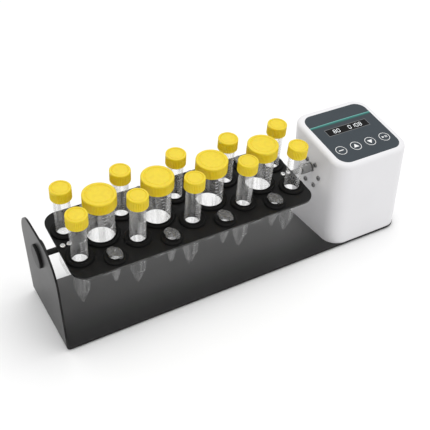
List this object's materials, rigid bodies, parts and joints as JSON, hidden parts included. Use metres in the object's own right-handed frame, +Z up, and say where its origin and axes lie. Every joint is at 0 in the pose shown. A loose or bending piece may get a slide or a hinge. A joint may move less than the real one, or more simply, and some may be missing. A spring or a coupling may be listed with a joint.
{
  "type": "rotary tube mixer",
  "caption": "Bench rotator for sample tubes: a flat rack of capped tubes turns between an upright end plate and a motor housing with a sloping key panel.",
  "frame": {"origin": "middle of the machine's outer box, on the surface that its feet stand on", "axes": "+X from the end plate towards the drive housing, +Y away from the front edge, +Z up"},
  "size_m": [0.427, 0.104, 0.1489],
  "materials": {
    "black_sheet": "satin black powder coat",
    "black_turned": "black anodised, turned",
    "steel": "ground steel",
    "bronze": "sintered bronze",
    "dark_screw": "blackened steel",
    "bright_screw": "zinc plated",
    "rubber": "soft black rubber",
    "clear_tube": "clear plastic with printed graduations",
    "micro_tube": "translucent natural plastic",
    "yellow_cap": "yellow moulded plastic, ribbed",
    "white_shell": "fine satin white plastic",
    "slate_panel": "slate blue printed overlay",
    "black_glass": "dark tinted window",
    "module": "black plastic",
    "board": "green solder mask",
    "switch_black": "black plastic",
    "zinc_case": "die-cast zinc",
    "can_steel": "plated steel can"
  },
  "bodies": {
    "frame": {"base_plate": "black_sheet", "rubber_feet": "rubber", "bearing_housing": "black_turned", "bearing_bush": "bronze", "housing": "white_shell", "housing_screws": "bright_screw", "control_panel": "slate_panel", "display_window": "black_glass", "display_module": "module", "circuit_board": "board", "key_switches": "switch_black", "gearbox_case": "zinc_case", "motor_can": "can_steel", "motor_screws": "dark_screw", "dc_jack": "switch_black", "power_switch": "switch_black"},
    "rack": {"rack_plate": "black_sheet", "end_shaft": "dark_screw", "drive_hub": "can_steel", "rotor_screws": "bright_screw", "grommets_15ml": "rubber", "grommets_50ml": "rubber", "grommets_micro": "rubber", "microtubes": "micro_tube", "output_shaft": "steel"},
    "idler": {"idler_gear": "steel"},
    "motor_rotor": {"motor_rotor": "steel"},
    "power_rocker": {"power_rocker": "switch_black"},
    "tube_15ml_1": {"tube_15ml_1": "clear_tube", "cap_15ml_1": "yellow_cap"},
    "tube_15ml_2": {"tube_15ml_2": "clear_tube", "cap_15ml_2": "yellow_cap"},
    "tube_15ml_3": {"tube_15ml_3": "clear_tube", "cap_15ml_3": "yellow_cap"},
    "tube_15ml_4": {"tube_15ml_4": "clear_tube", "cap_15ml_4": "yellow_cap"},
    "tube_15ml_5": {"tube_15ml_5": "clear_tube", "cap_15ml_5": "yellow_cap"},
    "tube_15ml_6": {"tube_15ml_6": "clear_tube", "cap_15ml_6": "yellow_cap"},
    "tube_15ml_7": {"tube_15ml_7": "clear_tube", "cap_15ml_7": "yellow_cap"},
    "tube_15ml_8": {"tube_15ml_8": "clear_tube", "cap_15ml_8": "yellow_cap"},
    "tube_15ml_9": {"tube_15ml_9": "clear_tube", "cap_15ml_9": "yellow_cap"},
    "tube_15ml_10": {"tube_15ml_10": "clear_tube", "cap_15ml_10": "yellow_cap"},
    "tube_50ml_1": {"tube_50ml_1": "clear_tube", "cap_50ml_1": "yellow_cap"},
    "tube_50ml_2": {"tube_50ml_2": "clear_tube", "cap_50ml_2": "yellow_cap"},
    "tube_50ml_3": {"tube_50ml_3": "clear_tube", "cap_50ml_3": "yellow_cap"},
    "tube_50ml_4": {"tube_50ml_4": "clear_tube", "cap_50ml_4": "yellow_cap"},
    "key_menu": {"key_menu": "slate_panel"},
    "key_up": {"key_up": "slate_panel"},
    "key_down": {"key_down": "slate_panel"},
    "key_run": {"key_run": "slate_panel"}
  },
  "joints": [
    {"name": "rack_spin", "type": "hinge", "parent": "frame", "child": "rack", "pos_m": [0, 0, 0.086], "axis": [1, 0, 0], "continuous": true},
    {"name": "idler_spin", "type": "hinge", "parent": "frame", "child": "idler", "pos_m": [0.1225, 0.00836, 0.08052], "axis": [1, 0, 0], "continuous": true},
    {"name": "motor_spin", "type": "hinge", "parent": "frame", "child": "motor_rotor", "pos_m": [0.1325, 0, 0.079], "axis": [1, 0, 0], "continuous": true},
    {"name": "tube_15ml_1_lift", "type": "slide", "parent": "rack", "child": "tube_15ml_1", "axis": [0, -0.1392, 0.9903], "range_m": [0, 0.015]},
    {"name": "tube_15ml_2_lift", "type": "slide", "parent": "rack", "child": "tube_15ml_2", "axis": [0, -0.1392, 0.9903], "range_m": [0, 0.015]},
    {"name": "tube_15ml_3_lift", "type": "slide", "parent": "rack", "child": "tube_15ml_3", "axis": [0, -0.1392, 0.9903], "range_m": [0, 0.015]},
    {"name": "tube_15ml_4_lift", "type": "slide", "parent": "rack", "child": "tube_15ml_4", "axis": [0, -0.1392, 0.9903], "range_m": [0, 0.015]},
    {"name": "tube_15ml_5_lift", "type": "slide", "parent": "rack", "child": "tube_15ml_5", "axis": [0, -0.1392, 0.9903], "range_m": [0, 0.015]},
    {"name": "tube_15ml_6_lift", "type": "slide", "parent": "rack", "child": "tube_15ml_6", "axis": [0, -0.1392, 0.9903], "range_m": [0, 0.015]},
    {"name": "tube_15ml_7_lift", "type": "slide", "parent": "rack", "child": "tube_15ml_7", "axis": [0, -0.1392, 0.9903], "range_m": [0, 0.015]},
    {"name": "tube_15ml_8_lift", "type": "slide", "parent": "rack", "child": "tube_15ml_8", "axis": [0, -0.1392, 0.9903], "range_m": [0, 0.015]},
    {"name": "tube_15ml_9_lift", "type": "slide", "parent": "rack", "child": "tube_15ml_9", "axis": [0, -0.1392, 0.9903], "range_m": [0, 0.015]},
    {"name": "tube_15ml_10_lift", "type": "slide", "parent": "rack", "child": "tube_15ml_10", "axis": [0, -0.1392, 0.9903], "range_m": [0, 0.015]},
    {"name": "tube_50ml_1_lift", "type": "slide", "parent": "rack", "child": "tube_50ml_1", "axis": [0, -0.1392, 0.9903], "range_m": [0, 0.02]},
    {"name": "tube_50ml_2_lift", "type": "slide", "parent": "rack", "child": "tube_50ml_2", "axis": [0, -0.1392, 0.9903], "range_m": [0, 0.02]},
    {"name": "tube_50ml_3_lift", "type": "slide", "parent": "rack", "child": "tube_50ml_3", "axis": [0, -0.1392, 0.9903], "range_m": [0, 0.02]},
    {"name": "tube_50ml_4_lift", "type": "slide", "parent": "rack", "child": "tube_50ml_4", "axis": [0, -0.1392, 0.9903], "range_m": [0, 0.02]},
    {"name": "key_menu_press", "type": "slide", "parent": "frame", "child": "key_menu", "axis": [0, 0.1959, -0.9806], "range_m": [0, 0.0004], "stiffness_N_per_m": 900, "springref_m": -0.0003},
    {"name": "key_up_press", "type": "slide", "parent": "frame", "child": "key_up", "axis": [0, 0.1959, -0.9806], "range_m": [0, 0.0004], "stiffness_N_per_m": 900, "springref_m": -0.0003},
    {"name": "key_down_press", "type": "slide", "parent": "frame", "child": "key_down", "axis": [0, 0.1959, -0.9806], "range_m": [0, 0.0004], "stiffness_N_per_m": 900, "springref_m": -0.0003},
    {"name": "key_run_press", "type": "slide", "parent": "frame", "child": "key_run", "axis": [0, 0.1959, -0.9806], "range_m": [0, 0.0004], "stiffness_N_per_m": 900, "springref_m": -0.0003},
    {"name": "rocker_tilt", "type": "hinge", "parent": "frame", "child": "power_rocker", "pos_m": [0.143, 0.0425, 0.034], "axis": [0, 0, 1], "range_deg": [-7, 7]}
  ],
  "couplings": [
    {"joint": "idler_spin", "follows": "rack_spin", "ratio": -3},
    {"joint": "motor_spin", "follows": "rack_spin", "ratio": 7.2}
  ]
}
